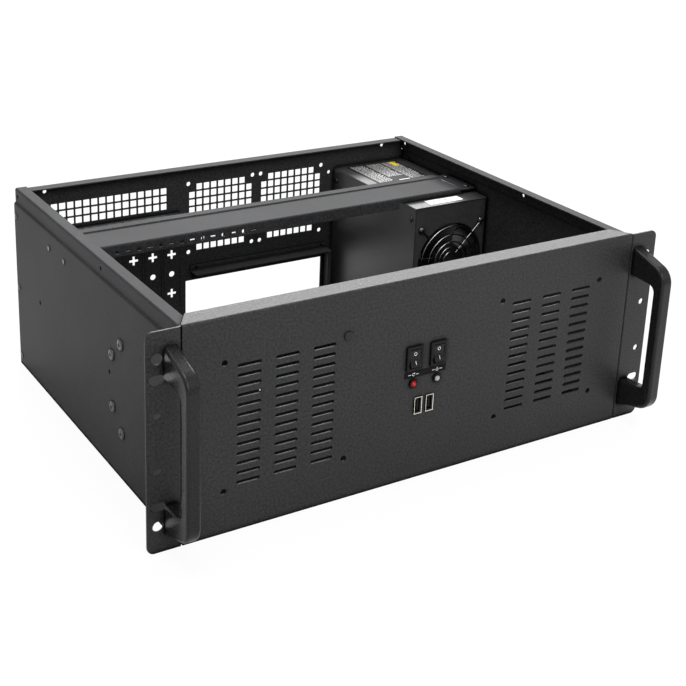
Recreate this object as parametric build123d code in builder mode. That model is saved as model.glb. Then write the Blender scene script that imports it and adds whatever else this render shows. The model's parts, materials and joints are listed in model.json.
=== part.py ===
from build123d import *
import math
import os

# Four-unit rackmount server case with its cover off. Millimetres, +Z up.
# X runs across the front, Y from the front face to the rear, and Z up from the underside.

# Rack standard
RACK_WIDTH = 482.6  # over both ears
EAR_HOLE_EDGE = 8.75  # from each outer edge to its column of holes
RACK_UNIT = 44.45
UNITS = 4
UNIT_HOLES = (6.35, 22.225, 38.1)  # heights of the hole places in one unit
FRONT_HEIGHT = 177.0

# Sheet metal
EAR_REACH = 25.3  # how far each ear stands out from the body
BODY_DEPTH = 350.0
SHEET = 1.2  # body steel
FACE_SHEET = 1.5  # front panel and ears
INNER_BEND = 0.6
BAND_HEIGHT = 14.5  # recessed band along the top of each side wall
BAND_STEP = 1.6  # how far the band is set in, for the cover to lie flush
RIM_WIDTH = 10.5  # inward flange on top of the band
REAR_DROP = 0.8  # the rear panel ends this far below the rims
FRONT_FLANGE = 18.5
REAR_FLANGE = 12.0
LIP = 14.0  # folded edges that join the sheets
REAR_LIP = 8.0  # folded edge of the rear panel on the tray
COVER_HOLE = 3.8
COVER_HOLE_DROP = 7.0  # below the rims
COVER_HOLE_FRONT = 146.0  # first cover hole from the front
COVER_HOLE_REAR = 6.0  # last cover hole from the rear
COVER_HOLE_IN = 16.9  # from the rim's inner edge to the holes in the rear panel
RAIL_HOLE = 4.2
RAIL_HOLES = ((128.0, 87.0), (288.0, 86.0))  # Y and Z
FIT = 0.3  # gap between a piece and the opening that it fits

# Front panel
VENT_OFFSET = 127.0  # from the middle of the panel to the middle of a vent group
VENT_HEIGHT = 88.2
VENT_COLUMNS = 3
VENT_ROWS = 13
VENT_COLUMN_PITCH = 32.0
VENT_ROW_PITCH = 8.0
VENT_SLOT = (20.0, 3.2)
FRONT_FAN_PITCH = 105.0  # screw square of a 120 mm fan
FRONT_FAN_HOLE = 5.0

# Front controls
SWITCH_OFFSET = 11.5
SWITCH_HEIGHT = 108.6
SWITCH_BEZEL = (15.5, 21.0, 2.0)
SWITCH_BODY = (12.8, 19.2, 16.0)
ROCKER_WIDTH = 10.0
ROCKER_REACH = 7.9  # from the rocker's axis to its ends
ROCKER_TRAVEL = 20.0
LAMP_OFFSET = 11.5
LAMP_HEIGHT = 86.5
LAMP_HOLDER = 7.6
LAMP_LENS = 5.0
LAMP_COLLAR = 1.8
LAMP_RISE = 0.6  # from the panel to the start of the lens's dome
LAMP_DEPTH = 8.0
USB_OFFSET = 5.6
USB_HEIGHT = 66.0
USB_SHELL = (5.7, 13.1)
USB_FLARE = 0.8
USB_DEPTH = 15.0
LABEL = (40.0, 5.2, 0.3)
LABEL_HEIGHT = 94.2

# Ears and handles
EAR_CORNER = 6.0
EAR_LEG = 22.0
EAR_DROP = 0.6  # the ears end this far below the top of the panel
EAR_ROUND_HOLE = 8.5
EAR_SMALL_HOLE = 5.5
EAR_SLOT = (12.0, 7.0)
HANDLE_BOTTOM = 13.0
HANDLE_LENGTH = 151.0
HANDLE_WIDTH = 11.5
HANDLE_REACH = 38.0
HANDLE_FOOT = 25.5
HANDLE_GRIP = 11.0
HANDLE_SLOPE = 12.0
HANDLE_SET = 0.6  # from the ear's bend to the handle
HANDLE_SCREW = 4.0

# Rear panel
FAN_PITCH = 71.5  # screw square of an 80 mm fan
FAN_SPACING = 80.8
FAN_HEIGHT = 120.0
MESH_PITCH = 7.95
MESH_HOLE = 6.4
REAR_FAN_HOLE = 4.5
SIDE_MESH_COLUMNS = 16
MESH_TO_SLOT = 8.3  # from the middle of the first slot to the last column
IO_OPENING = (158.75, 44.45)
IO_TO_PSU = 11.925  # from the opening to the supply
IO_BOTTOM = 9.2
SLOT_PITCH = 20.32
SLOT_COUNT = 7
SLOT_TO_IO = 15.125  # from the I/O opening to the middle of the first slot
SLOT_COVER = (18.0, 104.0)
SLOT_BOTTOM = 16.0
SLIT = 0.4
MARK_PITCH = 20.7
MARK_FIRST = 22.6
CROSS = (9.5, 2.6)
MARK_HOLE = 6.0

# Inner angles
SHELF_HEIGHT = 129.0
SHELF_DEPTH = 14.5
SHELF_DROP = 8.0
SHELF_HOLE = 3.4
IO_SHELF_HEIGHT = 63.0
IO_SHELF_RISE = 7.0
IO_SHELF_SHIFT = 5.0  # to the right of the opening
IO_POST_WIDTH = 5.0

# Card hold-down bar
BAR_FRONT = 218.0
BAR_WIDTH = 48.0
BAR_DROP = 18.5  # from the rims to the bar
BAR_FLANGE = 11.0
BAR_NOTCHED_FLANGE = 5.0  # over the supply
BAR_STEP = 1.2  # rise of the rear strip and drop of the end tabs
BAR_STEP_WIDTH = 10.0
BAR_TAB = 18.0
BAR_ENTRY = 14.0  # length of the resting leg of the end brackets
BAR_SCREW_PITCH = 34.0
BAR_HOLE = 3.5
BAR_PUNCH = (5.2, 1.6)
BAR_DIMPLE = 3.6
RIVET_DROP = 9.5  # from the bar to the rivets
RIVET_PITCH = 36.0

# Power supply, standing on its side
PSU_WIDTH = 86.0
PSU_HEIGHT = 150.0
PSU_DEPTH = 150.0
PSU_WALL_GAP = 1.8
PSU_SHEET = 0.8
PSU_SCREW_HOLE = 3.8
PSU_COVER_HOLE = 3.2
PSU_FAN_HEIGHT = 92.0
PSU_FAN_SET = 1.5  # from the middle of the supply
PSU_FAN = 80.0
PSU_FAN_DEPTH = 25.0
PSU_BORE = 76.0
FAN_SCREW_HOLE = 4.2
GUARD_WIRE = 1.4
GUARD_RINGS = (8.5, 13.5, 19.0, 26.5, 35.5)
HUB = 32.0
BLADES = 7
BLADE_TIP = 36.5

# Board posts
POST = (6.0, 6.5)
POST_COLUMNS = (0.0, 157.48, 281.94)
POST_ROWS = (0.0, 154.94, 227.33)
POST_HOLE = 3.2
POST_TO_PSU = 16.0
POST_REAR = 12.0

RACK_HOLE_SPACING = RACK_WIDTH - 2 * EAR_HOLE_EDGE
BODY_WIDTH = RACK_WIDTH - 2 * EAR_REACH
HALF = BODY_WIDTH / 2
RIM_TOP = FRONT_HEIGHT - FACE_SHEET
REAR_TOP = RIM_TOP - REAR_DROP
BAR_TOP = RIM_TOP - BAR_DROP
OUTER_BEND = SHEET + INNER_BEND
FACE_BEND = FACE_SHEET + INNER_BEND
WALL_FRONT = FACE_BEND
BAND_X = HALF - BAND_STEP
STEP_TOP = RIM_TOP - BAND_HEIGHT + BAND_STEP
STEP_BOTTOM = RIM_TOP - BAND_HEIGHT
REAR_IN = BODY_DEPTH - SHEET
WALL_IN = HALF - SHEET
EAR_EDGE = WALL_IN - FACE_SHEET
PANEL_HALF = EAR_EDGE - FIT
RACK_MARGIN = (UNITS * RACK_UNIT - FRONT_HEIGHT) / 2
HANDLE_X = EAR_EDGE + FACE_BEND + HANDLE_SET + HANDLE_WIDTH / 2
HANDLE_MIDDLE = HANDLE_BOTTOM + HANDLE_LENGTH / 2
HANDLE_HOLES = HANDLE_LENGTH - HANDLE_FOOT
BAR_MIDDLE = BAR_FRONT + BAR_WIDTH / 2
PSU_RIGHT = WALL_IN - PSU_WALL_GAP
PSU_LEFT = PSU_RIGHT - PSU_WIDTH
PSU_BOTTOM = SHEET
PSU_TOP = PSU_BOTTOM + PSU_HEIGHT
PSU_FRONT = REAR_IN - PSU_DEPTH
PSU_X = PSU_LEFT + PSU_WIDTH / 2
FAN_X = PSU_X + PSU_FAN_SET
IO_MIDDLE = PSU_LEFT - IO_TO_PSU - IO_OPENING[0] / 2
FIRST_SLOT = IO_MIDDLE - IO_OPENING[0] / 2 - SLOT_TO_IO
SIDE_MESH_RIGHT = FIRST_SLOT - MESH_TO_SLOT
POST_RIGHT = PSU_LEFT - POST_TO_PSU
FACE_IN = 0.6  # the supply's front face sits this far inside its cover
FAN_FRONT = PSU_FRONT + FACE_IN + PSU_SHEET


def front_plane(x, z, y=0.0):
    """A plane facing the viewer, whose local x runs along +X and local y along +Z."""
    return Plane(origin=(x, y, z), x_dir=(1, 0, 0), z_dir=(0, -1, 0))


def rear_plane(x, z, y=BODY_DEPTH):
    """A plane facing backwards, whose local y runs along +Z."""
    return Plane(origin=(x, y, z), x_dir=(-1, 0, 0), z_dir=(0, 1, 0))


def side_plane(side, y, z, x=HALF):
    """A plane facing outwards on the left (-1) or right (+1) wall, whose local y runs along +Z."""
    return Plane(origin=(side * x, y, z), x_dir=(0, side, 0), z_dir=(side, 0, 0))


def save(part, name):
    """Labels a finished piece and writes it."""
    part.label = name
    export_step(part, f"parts/{name}.step")


def screw(radius, head, shank_radius, shank):
    """A pan head whose underside is at the origin, with its shank along -Z."""
    with BuildPart() as one:
        Cylinder(radius, head, align=(Align.CENTER, Align.CENTER, Align.MIN))
        fillet(one.edges().sort_by(Axis.Z)[-1], head * 0.45)
        Cylinder(shank_radius, shank, align=(Align.CENTER, Align.CENTER, Align.MAX))
    return one.part


os.makedirs("parts", exist_ok=True)

# Places that several pieces share
SIDE_SCREWS = ((104.0, 38.5), (122.0, 22.7), (122.0, -22.7), (104.0, -38.5))  # Y and offset from the middle
SIDE_SCREW_MIDDLE = 81.8
REAR_SCREW_END = 11.0
REAR_SCREW_HEIGHTS = (REAR_SCREW_END, STEP_BOTTOM / 2, STEP_BOTTOM - REAR_SCREW_END)
REAR_SCREW_IN = 5.0
SIDE_SCREW_HOLE = 4.2
REAR_SCREW_HOLE = 3.2
RIVET_HOLE = 3.2
RIVET_HEIGHT = BAR_TOP - RIVET_DROP
BAR_RIVETS = [BAR_MIDDLE - RIVET_PITCH / 2, BAR_MIDDLE + RIVET_PITCH / 2]
SHANK_GAP = 0.05  # between a screw's shank and its hole, all round

side_screw_planes = [
    side_plane(side, y, SIDE_SCREW_MIDDLE + dz) for side in (-1, 1) for y, dz in SIDE_SCREWS
]
rear_screw_planes = [
    side_plane(side, BODY_DEPTH - REAR_SCREW_IN, z) for side in (-1, 1) for z in REAR_SCREW_HEIGHTS
]
rivet_planes = [side_plane(side, y, RIVET_HEIGHT) for side in (-1, 1) for y in BAR_RIVETS]
rail_planes = [side_plane(side, y, z) for side in (-1, 1) for y, z in RAIL_HOLES]
COVER_HOLE_HEIGHT = RIM_TOP - COVER_HOLE_DROP
cover_planes = [
    side_plane(side, y, COVER_HOLE_HEIGHT, BAND_X)
    for side in (-1, 1)
    for y in (COVER_HOLE_FRONT, BODY_DEPTH - COVER_HOLE_REAR)
]

# Chassis tray: bottom and side walls folded from one sheet, with the band and rim of each wall
with BuildPart() as chassis_tray:
    with BuildSketch(Plane.XZ.offset(-WALL_FRONT)):
        with BuildLine():
            outline = FilletPolyline(
                (-BAND_X + RIM_WIDTH, RIM_TOP),
                (-BAND_X, RIM_TOP),
                (-BAND_X, STEP_TOP),
                (-HALF, STEP_BOTTOM),
                (-HALF, 0),
                (HALF, 0),
                (HALF, STEP_BOTTOM),
                (BAND_X, STEP_TOP),
                (BAND_X, RIM_TOP),
                (BAND_X - RIM_WIDTH, RIM_TOP),
                radius=[OUTER_BEND, INNER_BEND, OUTER_BEND, OUTER_BEND] * 2,
            )
            offset(outline, amount=SHEET, side=Side.LEFT)
        make_face()
    extrude(amount=WALL_FRONT - BODY_DEPTH)
    # The front edge of the bottom is folded up behind the panel
    with BuildSketch(Plane.YZ):
        with BuildLine():
            lip_line = FilletPolyline(
                (WALL_FRONT + LIP, 0), (FACE_SHEET, 0), (FACE_SHEET, LIP), radius=OUTER_BEND
            )
            offset(lip_line, amount=SHEET, side=Side.RIGHT)
        make_face()
    extrude(amount=WALL_IN - LIP / 2, both=True)
    with Locations(*side_screw_planes):
        Hole(SIDE_SCREW_HOLE / 2, 2 * SHEET)
    with Locations(*rear_screw_planes):
        Hole(REAR_SCREW_HOLE / 2, 2 * SHEET)
    with Locations(*rivet_planes):
        Hole(RIVET_HOLE / 2, 2 * SHEET)
    # Threaded places for slide rails, one beside the screws and one further back
    with Locations(*rail_planes):
        Hole(RAIL_HOLE / 2, 2 * SHEET)
    # Screw holes for the cover in each band
    with Locations(*cover_planes):
        Hole(COVER_HOLE / 2, 2 * SHEET)
save(chassis_tray.part, "chassis_tray")

# Rear panel: a plate folded forward at its top, sides and bottom, with every opening in it
SLOTS = [FIRST_SLOT - i * SLOT_PITCH for i in range(SLOT_COUNT)]
FANS = [IO_MIDDLE - FAN_SPACING / 2, IO_MIDDLE + FAN_SPACING / 2]
RIM_IN = BAND_X - RIM_WIDTH
# Screw places of the supply, along its height and across its width
PSU_HOLES = (
    (6, PSU_WIDTH - 6),
    (PSU_HEIGHT - 6, PSU_WIDTH - 6),
    (6, 16),
    (PSU_HEIGHT - 30, 6),
)
PSU_INSET = 12.0
psu_hole_planes = [rear_plane(PSU_RIGHT - v, PSU_BOTTOM + u) for u, v in PSU_HOLES]
PLATE_HALF = WALL_IN - FIT
with BuildPart() as rear_panel:
    with BuildSketch(Plane.XZ.offset(-REAR_IN)):
        with BuildLine():
            band_in = BAND_X - SHEET - FIT
            Polyline(
                (-PLATE_HALF, SHEET + INNER_BEND),
                (-PLATE_HALF + INNER_BEND, SHEET),
                (PLATE_HALF - INNER_BEND, SHEET),
                (PLATE_HALF, SHEET + INNER_BEND),
                (PLATE_HALF, STEP_BOTTOM - INNER_BEND),
                (band_in, STEP_TOP - 2 * INNER_BEND),
                (band_in, RIM_TOP - SHEET - FIT),
                (RIM_IN - FIT, RIM_TOP - SHEET - FIT),
                (RIM_IN - FIT, REAR_TOP),
                (-RIM_IN + FIT, REAR_TOP),
                (-RIM_IN + FIT, RIM_TOP - SHEET - FIT),
                (-band_in, RIM_TOP - SHEET - FIT),
                (-band_in, STEP_TOP - 2 * INNER_BEND),
                (-PLATE_HALF, STEP_BOTTOM - INNER_BEND),
                close=True,
            )
        make_face()
    extrude(amount=-SHEET)
    # Top flange
    with BuildSketch(Plane.XZ.offset(-BODY_DEPTH)):
        with Locations((0, REAR_TOP)):
            Rectangle(2 * (RIM_IN - FIT), SHEET, align=(Align.CENTER, Align.MAX))
    extrude(amount=REAR_FLANGE)
    # The bottom lip lies on the tray beside the supply
    with BuildSketch(Plane.XZ.offset(-BODY_DEPTH)):
        with Locations((LIP - WALL_IN, SHEET)):
            Rectangle(WALL_IN - LIP + PSU_LEFT - 2 * SHEET, SHEET, align=(Align.MIN, Align.MIN))
    extrude(amount=REAR_LIP)
    # The side lips lie on the walls
    with BuildSketch(Plane.XZ.offset(-BODY_DEPTH)):
        with Locations((-WALL_IN, SHEET + LIP / 2), (WALL_IN - SHEET, SHEET + LIP / 2)):
            Rectangle(SHEET, STEP_BOTTOM - LIP, align=(Align.MIN, Align.MIN))
    extrude(amount=LIP)
    fillet(
        rear_panel.edges().filter_by(Axis.X).group_by(Axis.Y)[-1].sort_by(Axis.Z)[-1:], OUTER_BEND
    )
    # Mesh beside the slots
    side_mesh_x = SIDE_MESH_RIGHT - (SIDE_MESH_COLUMNS - 1) * MESH_PITCH / 2
    with BuildSketch(rear_plane(0, 0)):
        with Locations((-side_mesh_x, FAN_HEIGHT + 4 * MESH_PITCH - MESH_PITCH)):
            with GridLocations(MESH_PITCH, MESH_PITCH, SIDE_MESH_COLUMNS, 3):
                Rectangle(MESH_HOLE, MESH_HOLE)
        # Two fan meshes, nine by nine squares less the four corners
        for fan_x in FANS:
            with Locations((-fan_x, FAN_HEIGHT)):
                with GridLocations(MESH_PITCH, MESH_PITCH, 9, 7):
                    Rectangle(MESH_HOLE, MESH_HOLE)
                with GridLocations(MESH_PITCH, 8 * MESH_PITCH, 7, 2):
                    Rectangle(MESH_HOLE, MESH_HOLE)
                with GridLocations(FAN_PITCH, FAN_PITCH, 2, 2):
                    Circle(REAR_FAN_HOLE / 2)
        # I/O opening
        with Locations((-IO_MIDDLE, IO_BOTTOM)):
            Rectangle(*IO_OPENING, align=(Align.CENTER, Align.MIN))
        # Opening for the supply, cut back at its corners
        with BuildSketch(mode=Mode.PRIVATE) as psu_opening:
            Rectangle(PSU_WIDTH - 2 * PSU_INSET, PSU_HEIGHT - 2 * PSU_INSET)
            chamfer(psu_opening.vertices(), 6)
        with Locations((-PSU_X, (PSU_BOTTOM + PSU_TOP) / 2)):
            add(psu_opening.sketch)
    extrude(amount=-2 * SHEET, mode=Mode.SUBTRACT)
    # Break-out slot covers: slits round each cover, with a cross and holes for the tool
    with BuildSketch(rear_plane(0, 0)):
        with Locations(*[(-x, SLOT_BOTTOM + SLOT_COVER[1] / 2) for x in SLOTS]):
            with GridLocations(SLOT_COVER[0] - SLIT, 0, 2, 1):
                Rectangle(SLIT, SLOT_COVER[1])
            with GridLocations(0, SLOT_COVER[1] - SLIT, 1, 2):
                Rectangle(SLOT_COVER[0] * 0.7, SLIT)
        for row in range(5):
            with Locations(*[(-x, MARK_FIRST + row * MARK_PITCH) for x in SLOTS]):
                if row % 2:
                    Rectangle(*CROSS)
                    Rectangle(CROSS[1], CROSS[0])
                else:
                    Circle(MARK_HOLE / 2)
    extrude(amount=-2 * SHEET, mode=Mode.SUBTRACT)
    with Locations(*psu_hole_planes):
        Hole(PSU_SCREW_HOLE / 2, 2 * SHEET)
    with Locations(*rear_screw_planes):
        Hole(REAR_SCREW_HOLE / 2, 3 * SHEET)
    rear_cover_places = [(side * (RIM_IN - COVER_HOLE_IN), COVER_HOLE_HEIGHT) for side in (-1, 1)]
    with Locations(*[rear_plane(x, z) for x, z in rear_cover_places]):
        Hole(COVER_HOLE / 2, 2 * SHEET)
    # Spare hole beside the supply
    with Locations(rear_plane(PSU_LEFT - 5.5, PSU_TOP - 4.2)):
        Hole(COVER_HOLE / 2, 2 * SHEET)
save(rear_panel.part, "rear_panel")

# Front panel: face and top flange folded from one sheet, the flange mitred at its ends
VENTS = (-VENT_OFFSET, VENT_OFFSET)
SWITCHES = (-SWITCH_OFFSET, SWITCH_OFFSET)
LAMPS = (-LAMP_OFFSET, LAMP_OFFSET)
USB_PORTS = (-USB_OFFSET, USB_OFFSET)
with BuildPart() as front_panel:
    with BuildSketch(Plane.YZ):
        with BuildLine():
            panel_line = FilletPolyline(
                (FRONT_FLANGE, FRONT_HEIGHT), (0, FRONT_HEIGHT), (0, 0), radius=FACE_BEND
            )
            offset(panel_line, amount=FACE_SHEET, side=Side.LEFT)
        make_face()
    extrude(amount=PANEL_HALF, both=True)
    with BuildSketch(Plane.XY.offset(FRONT_HEIGHT)):
        for side in (-1, 1):
            with BuildLine():
                Polyline(
                    (side * PANEL_HALF, FACE_BEND),
                    (side * PANEL_HALF, FRONT_FLANGE),
                    (side * (PANEL_HALF - RIM_WIDTH), FRONT_FLANGE),
                    close=True,
                )
            make_face()
    extrude(amount=-2 * FACE_SHEET, mode=Mode.SUBTRACT)
    with BuildSketch(front_plane(0, 0)):
        with Locations(*[(x, VENT_HEIGHT) for x in VENTS]):
            with GridLocations(VENT_COLUMN_PITCH, VENT_ROW_PITCH, VENT_COLUMNS, VENT_ROWS):
                SlotOverall(*VENT_SLOT)
            with GridLocations(FRONT_FAN_PITCH, FRONT_FAN_PITCH, 2, 2):
                Circle(FRONT_FAN_HOLE / 2)
        with Locations(*[(x, SWITCH_HEIGHT) for x in SWITCHES]):
            Rectangle(SWITCH_BODY[0] + FIT, SWITCH_BODY[1] + FIT)
        with Locations(*[(x, LAMP_HEIGHT) for x in LAMPS]):
            Circle(LAMP_LENS / 2 + 0.6 + FIT / 2)
        with Locations(*[(x, USB_HEIGHT) for x in USB_PORTS]):
            Rectangle(USB_SHELL[0] + FIT, USB_SHELL[1] + FIT)
    extrude(amount=-2 * FACE_SHEET, mode=Mode.SUBTRACT)
save(front_panel.part, "front_panel")

# Plug in the left vent group's upper right hole
PLUG_PLANE = front_plane(-VENT_OFFSET + FRONT_FAN_PITCH / 2, VENT_HEIGHT + FRONT_FAN_PITCH / 2)
save(PLUG_PLANE * screw(3.6, 1.0, FRONT_FAN_HOLE / 2 - 2 * SHANK_GAP, 2 * FACE_SHEET), "panel_plug")

# Screws in the side walls
SHORT_SHANK = 2 * SHEET + 0.2  # just through two sheets
side_screw = screw(4.6, 1.8, SIDE_SCREW_HOLE / 2 - SHANK_GAP, 5.0)
save(Compound(children=[plane * side_screw for plane in side_screw_planes]), "side_screws")
rear_screw = screw(2.6, 0.9, REAR_SCREW_HOLE / 2 - SHANK_GAP, SHORT_SHANK)
save(Compound(children=[plane * rear_screw for plane in rear_screw_planes]), "rear_screws")


# Holes of an ear: the rack unit from the bottom, the hole place in it, and the kind of hole
EAR_HOLES = (
    (0, 1, "round"),
    (0, 2, "slot"),
    (1, 1, "small"),
    (2, 1, "small"),
    (3, 0, "slot"),
    (3, 1, "round"),
)


def make_ear(side):
    """A rack ear: a flange in the panel's plane and a leg inside the side wall."""
    height = FRONT_HEIGHT - EAR_DROP
    edge = RACK_WIDTH / 2
    with BuildPart() as ear:
        with BuildSketch(Plane.XY):
            with BuildLine():
                ear_line = FilletPolyline(
                    (EAR_EDGE, EAR_LEG), (EAR_EDGE, 0), (edge, 0), radius=FACE_BEND
                )
                offset(ear_line, amount=FACE_SHEET, side=Side.LEFT)
            make_face()
        extrude(amount=height)
        # The leg stops below the band and above the bottom
        with BuildSketch(Plane.YZ.offset(EAR_EDGE)):
            with Locations((WALL_FRONT, STEP_BOTTOM - 2 * SHEET)):
                Rectangle(EAR_LEG, height, align=(Align.MIN, Align.MIN))
            with Locations((WALL_FRONT, 2 * OUTER_BEND)):
                Rectangle(EAR_LEG, height, align=(Align.MIN, Align.MAX))
        extrude(amount=FACE_SHEET, mode=Mode.SUBTRACT)
        corners = ear.edges().filter_by(Axis.Y).group_by(Axis.X)[-1]
        fillet(corners, EAR_CORNER)
        with BuildSketch(front_plane(RACK_HOLE_SPACING / 2, -RACK_MARGIN)):
            for unit, place, shape in EAR_HOLES:
                with Locations((0, unit * RACK_UNIT + UNIT_HOLES[place])):
                    if shape == "slot":
                        SlotOverall(*EAR_SLOT)
                    else:
                        Circle((EAR_ROUND_HOLE if shape == "round" else EAR_SMALL_HOLE) / 2)
        extrude(amount=-2 * FACE_SHEET, mode=Mode.SUBTRACT)
        with Locations(
            *[front_plane(HANDLE_X, HANDLE_MIDDLE + k * HANDLE_HOLES / 2) for k in (-1, 1)]
        ):
            Hole(HANDLE_SCREW / 2 + FIT / 2, 2 * FACE_SHEET)
    return ear.part if side > 0 else ear.part.mirror(Plane.YZ)


def make_handle(side):
    """A bow handle: sloping legs that widen into tall feet, with rounded edges and blind screw holes."""
    top = HANDLE_BOTTOM + HANDLE_LENGTH
    inner_reach = HANDLE_REACH - HANDLE_GRIP
    rise = 2.0
    with BuildPart() as handle:
        with BuildSketch(Plane.YZ.offset(HANDLE_X)):
            with BuildLine():
                FilletPolyline(
                    (0, HANDLE_BOTTOM),
                    (-HANDLE_REACH, HANDLE_BOTTOM + HANDLE_SLOPE),
                    (-HANDLE_REACH, top - HANDLE_SLOPE),
                    (0, top),
                    radius=HANDLE_REACH * 0.42,
                )
                Line((0, top), (0, top - HANDLE_FOOT))
                FilletPolyline(
                    (0, top - HANDLE_FOOT),
                    (-inner_reach, top - HANDLE_FOOT - rise),
                    (-inner_reach, HANDLE_BOTTOM + HANDLE_FOOT + rise),
                    (0, HANDLE_BOTTOM + HANDLE_FOOT),
                    radius=6,
                )
                Line((0, HANDLE_BOTTOM + HANDLE_FOOT), (0, HANDLE_BOTTOM))
            make_face()
        extrude(amount=HANDLE_WIDTH / 2, both=True)
        flanks = handle.faces().filter_by(Axis.X)
        rims = [edge for flank in flanks for edge in flank.edges() if edge.center().Y < -0.1]
        fillet(rims, HANDLE_WIDTH * 0.22)
        with Locations(
            *[rear_plane(HANDLE_X, HANDLE_MIDDLE + k * HANDLE_HOLES / 2, 0) for k in (-1, 1)]
        ):
            Hole(HANDLE_SCREW / 2, HANDLE_REACH / 3)
    return handle.part if side > 0 else handle.part.mirror(Plane.YZ)


for side, word in ((-1, "left"), (1, "right")):
    save(make_ear(side), f"ear_{word}")
    save(make_handle(side), f"handle_{word}")

handle_heads = [
    rear_plane(side * HANDLE_X, HANDLE_MIDDLE + k * HANDLE_HOLES / 2, FACE_SHEET)
    * screw(3.6, 2.4, HANDLE_SCREW / 2 - SHANK_GAP, HANDLE_REACH / 4)
    for side in (-1, 1)
    for k in (-1, 1)
]
save(Compound(children=handle_heads), "handle_screws")

# Card hold-down bar: an inverted channel with a raised rear strip
BAR_HALF = BAND_X - SHEET - FIT
BAR_PUNCHES = 8
BAR_PUNCH_FIRST = FIRST_SLOT - (SLOT_COUNT - 1) * SLOT_PITCH
BAR_MAIN = BAR_HALF - BAR_TAB
TAB_TOP = BAR_TOP - BAR_STEP
with BuildPart() as crossbar:
    rear = BAR_FRONT + BAR_WIDTH
    with BuildSketch(Plane.YZ):
        with BuildLine():
            bar_line = FilletPolyline(
                (BAR_FRONT, BAR_TOP - BAR_FLANGE),
                (BAR_FRONT, BAR_TOP),
                (rear - BAR_STEP_WIDTH - BAR_STEP, BAR_TOP),
                (rear - BAR_STEP_WIDTH, BAR_TOP + BAR_STEP),
                (rear, BAR_TOP + BAR_STEP),
                (rear, BAR_TOP - BAR_NOTCHED_FLANGE),
                radius=[OUTER_BEND, INNER_BEND, INNER_BEND, OUTER_BEND],
            )
            offset(bar_line, amount=SHEET, side=Side.RIGHT)
        make_face()
    extrude(amount=BAR_MAIN, both=True)
    # End tabs are set down by a step and rest on the brackets
    with BuildSketch(Plane.XZ.offset(-BAR_FRONT)):
        for side in (-1, 1):
            with BuildLine():
                Polyline(
                    (side * (BAR_MAIN - SHEET), BAR_TOP - SHEET / 2),
                    (side * BAR_MAIN, BAR_TOP - SHEET / 2),
                    (side * BAR_MAIN, TAB_TOP),
                    (side * BAR_HALF, TAB_TOP),
                    (side * BAR_HALF, TAB_TOP - SHEET),
                    (side * (BAR_MAIN - SHEET), TAB_TOP - SHEET),
                    close=True,
                )
            make_face()
    extrude(amount=-BAR_WIDTH)
    # The front flange is notched over the supply
    with BuildSketch(Plane.XZ.offset(-BAR_FRONT)):
        with Locations((PSU_LEFT - BAR_FLANGE / 2, BAR_TOP - BAR_NOTCHED_FLANGE)):
            Rectangle(PSU_WIDTH * 1.5, BAR_FLANGE, align=(Align.MIN, Align.MAX))
    extrude(amount=-3 * SHEET, mode=Mode.SUBTRACT)
    with BuildSketch(front_plane(0, BAR_TOP - BAR_FLANGE / 2 - SHEET, BAR_FRONT)):
        for i in range(BAR_PUNCHES):
            with Locations((BAR_PUNCH_FIRST + i * SLOT_PITCH, 0)):
                Rectangle(*BAR_PUNCH)
            with Locations((BAR_PUNCH_FIRST + (i - 0.5) * SLOT_PITCH, 0)):
                Circle(BAR_DIMPLE / 2)
    extrude(amount=-2 * SHEET, mode=Mode.SUBTRACT)
    bar_screw_places = [
        (side * (BAR_HALF - BAR_ENTRY / 2), BAR_MIDDLE + k * BAR_SCREW_PITCH / 2)
        for side in (-1, 1)
        for k in (-1, 1)
    ]
    with Locations(*[Pos(x, y, TAB_TOP) for x, y in bar_screw_places]):
        Hole(BAR_HOLE / 2, 2 * SHEET)
save(crossbar.part, "crossbar")

# Angles that carry the bar, riveted inside the walls
BRACKET_WIDTH = BAR_WIDTH - 2 * SHEET - 2 * INNER_BEND - 2
BRACKET_TOP = TAB_TOP - SHEET
BRACKET_DROP = 14.0


def make_bar_bracket(side):
    """An angle whose upright leg lies on the wall and whose other leg carries the bar."""
    with BuildPart() as bracket:
        with BuildSketch(Plane.XZ.offset(-(BAR_MIDDLE - BRACKET_WIDTH / 2))):
            with BuildLine():
                angle_line = FilletPolyline(
                    (BAR_HALF - BAR_ENTRY, BRACKET_TOP),
                    (WALL_IN, BRACKET_TOP),
                    (WALL_IN, BRACKET_TOP - BRACKET_DROP),
                    radius=OUTER_BEND,
                )
                offset(angle_line, amount=SHEET, side=Side.RIGHT)
            make_face()
        extrude(amount=-BRACKET_WIDTH)
        with Locations(*[side_plane(1, y, RIVET_HEIGHT) for y in BAR_RIVETS]):
            Hole(RIVET_HOLE / 2, 3 * SHEET)
        with Locations(*[Pos(x, y, BRACKET_TOP) for x, y in bar_screw_places if x > 0]):
            Hole(BAR_HOLE / 2, 2 * SHEET)
    return bracket.part if side > 0 else bracket.part.mirror(Plane.YZ)


for side, word in ((-1, "left"), (1, "right")):
    save(make_bar_bracket(side), f"bar_bracket_{word}")
bar_screw = screw(3.2, 1.9, BAR_HOLE / 2 - SHANK_GAP, 3 * SHEET)
save(Compound(children=[Pos(x, y, TAB_TOP) * bar_screw for x, y in bar_screw_places]), "bar_screws")
rivet = screw(2.4, 0.7, RIVET_HOLE / 2 - SHANK_GAP, SHORT_SHANK)
save(Compound(children=[plane * rivet for plane in rivet_planes]), "bar_rivets")


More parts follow.
